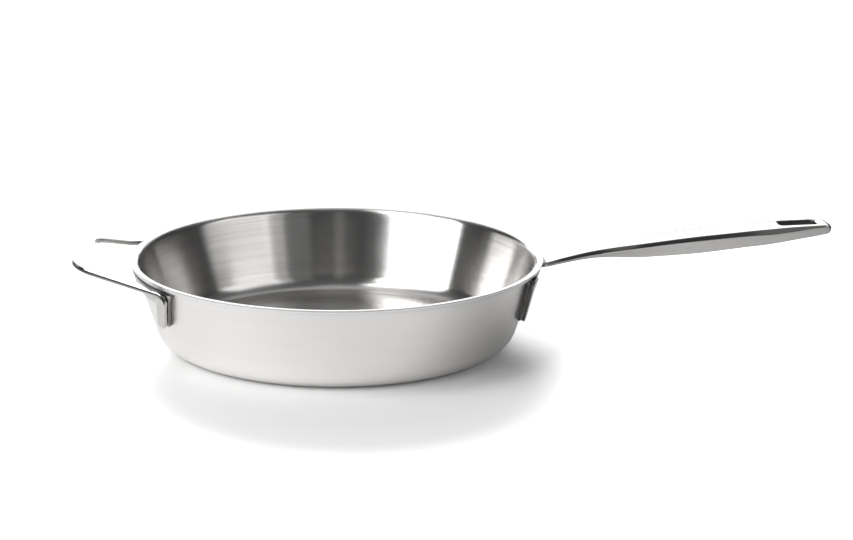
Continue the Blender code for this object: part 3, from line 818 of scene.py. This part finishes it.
# Polished steel: its faint waves, and the smudges that vary its gloss
POLISHED_COLOUR = (0.57, 0.56, 0.55)
POLISHED_SPREAD = 0.02
POLISHED_ROUGHNESS = (0.08, 0.13)
POLISHED_WAVE_SCALE = 60.0
POLISHED_WAVE_DETAIL = 1.0
POLISHED_WAVE_DEPTH = 0.00002

# A mix node's sockets, which come in one set for numbers and one for colours
NUMBER_A = 2
NUMBER_B = 3
NUMBER_RESULT = 0
COLOUR_A = 6
COLOUR_B = 7
COLOUR_RESULT = 2


def node(tree, kind, **settings):
    """A new node with its properties set."""
    made = tree.nodes.new(kind)
    for key, value in settings.items():
        setattr(made, key, value)
    return made


def fed(tree, kind, *sources, **settings):
    """A new node whose first inputs take sources, each a socket or a plain value."""
    made = node(tree, kind, **settings)
    for socket, source in zip(made.inputs, sources):
        if isinstance(source, bpy.types.NodeSocket):
            tree.links.new(source, socket)
        elif source is not None:
            socket.default_value = source
    return made


def noise(tree, place, scale, detail):
    """Strength of a noise over a place. Its scale is a socket or a plain value."""
    made = node(tree, "ShaderNodeTexNoise", noise_dimensions="3D")
    tree.links.new(place, made.inputs["Vector"])
    if isinstance(scale, bpy.types.NodeSocket):
        tree.links.new(scale, made.inputs["Scale"])
    else:
        made.inputs["Scale"].default_value = scale
    made.inputs["Detail"].default_value = detail
    return made.outputs[0]


def maths(tree, operation, *sources):
    """The result of one sum on sockets or plain values."""
    return fed(tree, "ShaderNodeMath", *sources, operation=operation).outputs[0]


def ranged(tree, value, low, high, to_low, to_high, smooth=False):
    """The value carried from one range to another, and held at its ends."""
    kind = "SMOOTHSTEP" if smooth else "LINEAR"
    limits = (low, high, to_low, to_high)
    return fed(tree, "ShaderNodeMapRange", value, *limits, interpolation_type=kind, clamp=True).outputs[0]


def new_group(name, inputs, outputs):
    """A shader node group with its sockets, and its input and output nodes."""
    group = bpy.data.node_groups.new(name, "ShaderNodeTree")
    for label, kind, value in inputs:
        socket = group.interface.new_socket(name=label, in_out="INPUT", socket_type=kind)
        socket.default_value = value
    for label, kind in outputs:
        group.interface.new_socket(name=label, in_out="OUTPUT", socket_type=kind)
    return group, group.nodes.new("NodeGroupInput"), group.nodes.new("NodeGroupOutput")


def turned_grain_group():
    """Fine grooves that run round the pan's axis, as a lathe's polishing leaves them."""
    group, given, put = new_group(
        "turned_grain",
        [
            ("Pitch", "NodeSocketFloat", 0.0006),
            ("Length", "NodeSocketFloat", 0.02),
            ("Cloud Size", "NodeSocketFloat", 0.03),
        ],
        [("Groove", "NodeSocketFloat"), ("Streak", "NodeSocketFloat"), ("Cloud", "NodeSocketFloat")],
    )
    place = node(group, "ShaderNodeTexCoord").outputs["Object"]
    x, y, z = fed(group, "ShaderNodeSeparateXYZ", place).outputs
    square = maths(group, "ADD", maths(group, "MULTIPLY", x, x), maths(group, "MULTIPLY", y, y))
    radius = maths(group, "MAXIMUM", maths(group, "SQRT", square), GRAIN_LEAST_RADIUS)
    along_section = maths(group, "ADD", radius, z)
    reach = maths(group, "DIVIDE", GRAIN_MEASURED_RADIUS, given.outputs["Length"])
    round_x = maths(group, "MULTIPLY", maths(group, "DIVIDE", x, radius), reach)
    round_y = maths(group, "MULTIPLY", maths(group, "DIVIDE", y, radius), reach)
    across = maths(group, "DIVIDE", along_section, given.outputs["Pitch"])
    fine = fed(group, "ShaderNodeCombineXYZ", round_x, round_y, across).outputs[0]
    wide_x = maths(group, "MULTIPLY", round_x, STREAK_ROUND_SCALE)
    wide_y = maths(group, "MULTIPLY", round_y, STREAK_ROUND_SCALE)
    wide_across = maths(group, "MULTIPLY", across, STREAK_ACROSS_SCALE)
    wide = fed(group, "ShaderNodeCombineXYZ", wide_x, wide_y, wide_across).outputs[0]
    cloud_scale = maths(group, "DIVIDE", 1.0, given.outputs["Cloud Size"])
    group.links.new(noise(group, fine, 1.0, GROOVE_DETAIL), put.inputs["Groove"])
    group.links.new(noise(group, wide, 1.0, STREAK_DETAIL), put.inputs["Streak"])
    group.links.new(noise(group, place, cloud_scale, CLOUD_DETAIL), put.inputs["Cloud"])
    return group


def metal(name, roughness, anisotropy=0.0):
    """A metal's material, and its shader and node tree for what the finish adds."""
    material = bpy.data.materials.new(name)
    material.use_nodes = True
    tree = material.node_tree
    shader = tree.nodes["Principled BSDF"]
    shader.inputs["Metallic"].default_value = 1.0
    shader.inputs["Roughness"].default_value = roughness
    shader.inputs["Anisotropic"].default_value = anisotropy
    shader.inputs["Anisotropic Rotation"].default_value = GRAIN_TURN
    return material, tree, shader


def shaded(tree, shader, colour, spread, mask):
    """Base colour that a mask darkens and lightens a little about its middle."""
    dark = tuple(part * (1 - spread) for part in colour)
    light = tuple(min(part * (1 + spread), 1.0) for part in colour)
    mix = node(tree, "ShaderNodeMix", data_type="RGBA")
    tree.links.new(mask, mix.inputs["Factor"])
    mix.inputs[COLOUR_A].default_value = (*dark, 1.0)
    mix.inputs[COLOUR_B].default_value = (*light, 1.0)
    tree.links.new(mix.outputs[COLOUR_RESULT], shader.inputs["Base Color"])


def bumped(tree, shader, height, distance):
    """Fine relief from a height, this deep at the most."""
    bump = node(tree, "ShaderNodeBump")
    bump.inputs["Distance"].default_value = distance
    tree.links.new(height, bump.inputs["Height"])
    tree.links.new(bump.outputs[0], shader.inputs["Normal"])


def turned_steel(group, name, colour, roughness, anisotropy, groove_depth, pitch, cloud_size, spread, length):
    """Steel with a turned grain."""
    material, tree, shader = metal(name, roughness, anisotropy)
    grain = node(tree, "ShaderNodeGroup", node_tree=group)
    grain.inputs["Pitch"].default_value = pitch
    grain.inputs["Length"].default_value = length
    grain.inputs["Cloud Size"].default_value = cloud_size
    streak = ranged(tree, grain.outputs["Streak"], *NOISE_RANGE, 0.0, 1.0)
    shaded(tree, shader, colour, spread, streak)
    glossiest = roughness * (1 - ROUGHNESS_SPREAD)
    dullest = roughness * (1 + ROUGHNESS_SPREAD)
    rough = ranged(tree, grain.outputs["Cloud"], *NOISE_RANGE, glossiest, dullest)
    tree.links.new(rough, shader.inputs["Roughness"])
    bumped(tree, shader, grain.outputs["Groove"], groove_depth)
    return material


def polished_steel():
    """Steel polished to a gloss, with faint waves and smudges."""
    material, tree, shader = metal("polished_steel", POLISHED_ROUGHNESS[0])
    place = node(tree, "ShaderNodeTexCoord").outputs["Object"]
    wave = noise(tree, place, POLISHED_WAVE_SCALE, POLISHED_WAVE_DETAIL)
    smudge = ranged(tree, wave, *NOISE_RANGE, *POLISHED_ROUGHNESS)
    tree.links.new(smudge, shader.inputs["Roughness"])
    shaded(tree, shader, POLISHED_COLOUR, POLISHED_SPREAD, wave)
    bumped(tree, shader, wave, POLISHED_WAVE_DEPTH)
    return material


def steel_materials():
    """Every finish of the pan, by its use."""
    grain = turned_grain_group()
    finishes = {"polished": polished_steel()}
    for use, values in TURNED_STEELS.items():
        finishes[use] = turned_steel(grain, *values)
    return finishes


# Studio

# Floor that the camera sees: plain, with painted light, a glow that starts past a stretched round and so
# trims the pan's shadow
FLOOR_HALF_SIZE = 12.0
FLOOR_TONE = 0.80
GLOW_SHAPE = (1.5, 1.35, 1.0)
GLOW_CENTRE = (0.0, 0.135, 0.0)
GLOW_REACH = (0.17, 0.26)
GLOW_STRENGTH = 0.7

# Table that the pan sees: painted fall-off of light that darkens it outwards, and a painted shade in front of
# the wall on the right
TABLE_TONE = 0.88
TABLE_EDGE = (0.20, 0.70)
TABLE_FAR_SHARE = 0.08
SHADE_PLACE = (0.15, -0.09, 0.0)
SHADE_REACH = (0.0, 0.13)
SHADE_SHARE = 0.58

# Softbox
KEY_PLACE = (-1.70, -0.80, 1.05)
KEY_SIZE = 1.80
KEY_RADIANCE = 4.4

# Photograph's viewpoint
VIEW_AZIMUTH = radians(-5.91)
VIEW_ELEVATION = radians(15.13)
VIEW_DISTANCE = 1.686
VIEW_TARGET = (0.0475, 0.0, 0.0441)
VIEW_ROLL = 0.00726
LENS_LENGTH = 100.79
LENS_SHIFT = (0.0264, 0.008)
SENSOR_WIDTH = 36.0
CLIP_START = 0.05
CLIP_END = 60.0

# Walls of the room, as patches: (heading, half width, lowest and highest elevation, blur, brightness).
# A heading is in degrees from the camera's side of the room, and runs towards the camera's left.
HALF_TURN = 180.0
STRAIGHT_UP = 90.0
WALLS = (
    (0.0, 180.0, -90.0, 90.0, 1.0, 0.05),
    (0.0, 180.0, 35.0, 91.0, 12.0, 0.07),
    (0.0, 180.0, 84.0, 91.0, 6.0, 0.4),
    (68.0, 20.0, 45.0, 78.0, 7.0, 4.0),
    (180.0, 50.0, 50.0, 82.0, 10.0, 0.6),
    (180.0, 26.0, 8.0, 52.0, 4.0, 2.0),
    (-171.0, 9.0, -4.0, 8.0, 4.0, 2.0),
    (-154.0, 10.0, 12.0, 33.0, 6.0, 0.4),
    (140.0, 28.0, -3.0, 12.0, 5.0, 0.9),
    (-62.0, 22.0, -5.0, 18.0, 6.0, 0.6),
    (-62.0, 22.0, 18.0, 48.0, 6.0, 1.4),
    (-36.0, 6.0, -5.0, 48.0, 3.0, 0.55),
    (-22.0, 9.0, -5.0, 40.0, 3.0, 0.14),
    (6.0, 3.0, -5.0, 40.0, 2.0, 0.12),
    (26.0, 2.5, -5.0, 30.0, 2.0, 0.03),
)


def wall_patch(tree, flat, rise, heading, half, low, high, blur, brightness):
    """The light of one patch of wall, for a direction whose level part is flat and upward part is rise."""
    wide = 1.0
    if half < HALF_TURN:
        facing = (-sin(radians(heading)), -cos(radians(heading)), 0.0)
        beside = fed(tree, "ShaderNodeVectorMath", flat, facing, operation="DOT_PRODUCT").outputs["Value"]
        outermost = cos(radians(half + blur / 2))
        innermost = cos(radians(max(half - blur / 2, 0.0)))
        wide = ranged(tree, beside, outermost, innermost, 0.0, 1.0, True)
    bottom = sin(radians(max(low - blur / 2, -STRAIGHT_UP)))
    above = ranged(tree, rise, bottom, sin(radians(low + blur / 2)), 0.0, 1.0, True)
    under = 1.0
    if high < STRAIGHT_UP:
        top = sin(radians(high + blur / 2))
        under = ranged(tree, rise, sin(radians(high - blur / 2)), top, 1.0, 0.0, True)
    inside = maths(tree, "MULTIPLY", wide, above)
    return maths(tree, "MULTIPLY", inside, maths(tree, "MULTIPLY", under, brightness))


def world():
    """The room that the pan reflects. The camera sees plain white in its place."""
    light = bpy.data.worlds.new("studio")
    bpy.context.scene.world = light
    light.use_nodes = True
    tree = light.node_tree
    background = tree.nodes["Background"]
    look = node(tree, "ShaderNodeTexCoord").outputs["Generated"]
    level = fed(tree, "ShaderNodeVectorMath", look, (1.0, 1.0, 0.0), operation="MULTIPLY").outputs[0]
    flat = fed(tree, "ShaderNodeVectorMath", level, operation="NORMALIZE").outputs[0]
    rise = fed(tree, "ShaderNodeSeparateXYZ", look).outputs[2]
    total = 0.0
    for patch in WALLS:
        total = maths(tree, "ADD", total, wall_patch(tree, flat, rise, *patch))
    seen = node(tree, "ShaderNodeLightPath").outputs["Is Camera Ray"]
    mix = node(tree, "ShaderNodeMix", data_type="FLOAT")
    tree.links.new(seen, mix.inputs["Factor"])
    tree.links.new(total, mix.inputs[NUMBER_A])
    mix.inputs[NUMBER_B].default_value = 1.0
    tree.links.new(mix.outputs[NUMBER_RESULT], background.inputs["Strength"])
    background.inputs["Color"].default_value = (1.0, 1.0, 1.0, 1.0)


def softbox():
    """A square panel of soft light that faces the pan."""
    data = bpy.data.lights.new("key_softbox", "AREA")
    data.shape = "RECTANGLE"
    data.size = KEY_SIZE
    data.size_y = KEY_SIZE
    data.energy = KEY_RADIANCE * pi * KEY_SIZE * KEY_SIZE
    panel = bpy.data.objects.new("key_softbox", data)
    panel.location = KEY_PLACE
    panel.rotation_euler = (-Vector(KEY_PLACE)).to_track_quat("-Z", "Y").to_euler()
    bpy.context.scene.collection.objects.link(panel)


def camera():
    """The photograph's viewpoint."""
    data = bpy.data.cameras.new("camera")
    camera_object = bpy.data.objects.new("camera", data)
    bpy.context.scene.collection.objects.link(camera_object)
    level = cos(VIEW_ELEVATION)
    back = Vector((sin(VIEW_AZIMUTH) * level, -cos(VIEW_AZIMUTH) * level, sin(VIEW_ELEVATION)))
    camera_object.location = Vector(VIEW_TARGET) + VIEW_DISTANCE * back
    turn = (-back).to_track_quat("-Z", "Y").to_matrix() @ Matrix.Rotation(VIEW_ROLL, 3, "Z")
    camera_object.rotation_euler = turn.to_euler()
    data.sensor_width = SENSOR_WIDTH
    data.lens = LENS_LENGTH
    data.shift_x, data.shift_y = LENS_SHIFT
    data.clip_start = CLIP_START
    data.clip_end = CLIP_END
    bpy.context.scene.camera = camera_object


def floor():
    """A pale sweep with a painted glow for the camera, and for every other ray a table with painted shade,
    darker away from the pan.
    """
    bm = bmesh.new()
    bmesh.ops.create_grid(bm, x_segments=1, y_segments=1, size=FLOOR_HALF_SIZE)
    mesh = bpy.data.meshes.new("floor")
    bm.to_mesh(mesh)
    bm.free()
    material = bpy.data.materials.new("pale_floor")
    material.use_nodes = True
    tree = material.node_tree
    tree.nodes.remove(tree.nodes["Principled BSDF"])
    place = node(tree, "ShaderNodeTexCoord").outputs["Object"]
    reach = fed(tree, "ShaderNodeVectorMath", place, operation="LENGTH").outputs["Value"]
    from_shade = fed(tree, "ShaderNodeVectorMath", place, SHADE_PLACE, operation="DISTANCE").outputs["Value"]
    shaped = (place, GLOW_SHAPE, GLOW_CENTRE)
    stretched = fed(tree, "ShaderNodeVectorMath", *shaped, operation="MULTIPLY_ADD").outputs[0]
    past = fed(tree, "ShaderNodeVectorMath", stretched, operation="LENGTH").outputs["Value"]
    # Painted fall-off of light and painted shade on the table, which only reflections see
    share = ranged(tree, reach, *TABLE_EDGE, TABLE_TONE, TABLE_TONE * TABLE_FAR_SHARE, True)
    shade = ranged(tree, from_shade, *SHADE_REACH, SHADE_SHARE, 1.0, True)
    tone = fed(tree, "ShaderNodeCombineColor", *[maths(tree, "MULTIPLY", share, shade)] * 3).outputs[0]
    table = fed(tree, "ShaderNodeBsdfDiffuse", tone).outputs[0]
    sweep = fed(tree, "ShaderNodeBsdfDiffuse", (FLOOR_TONE, FLOOR_TONE, FLOOR_TONE, 1.0)).outputs[0]
    # Painted light: a glow that only the camera sees, growing away from the pan
    brightness = ranged(tree, past, *GLOW_REACH, 0.0, GLOW_STRENGTH, True)
    glow = fed(tree, "ShaderNodeEmission", None, brightness).outputs[0]
    lit = fed(tree, "ShaderNodeAddShader", sweep, glow).outputs[0]
    seen = node(tree, "ShaderNodeLightPath").outputs["Is Camera Ray"]
    mixed = fed(tree, "ShaderNodeMixShader", seen, table, lit).outputs[0]
    tree.links.new(mixed, tree.nodes["Material Output"].inputs["Surface"])
    mesh.materials.append(material)
    plane = bpy.data.objects.new("floor", mesh)
    bpy.context.scene.collection.objects.link(plane)


materials = steel_materials()
vessel(materials)
brackets(materials)
long_handle(materials)
helper_handle(materials)
floor()
world()
softbox()
camera()
bpy.context.scene.view_settings.view_transform = "Standard"
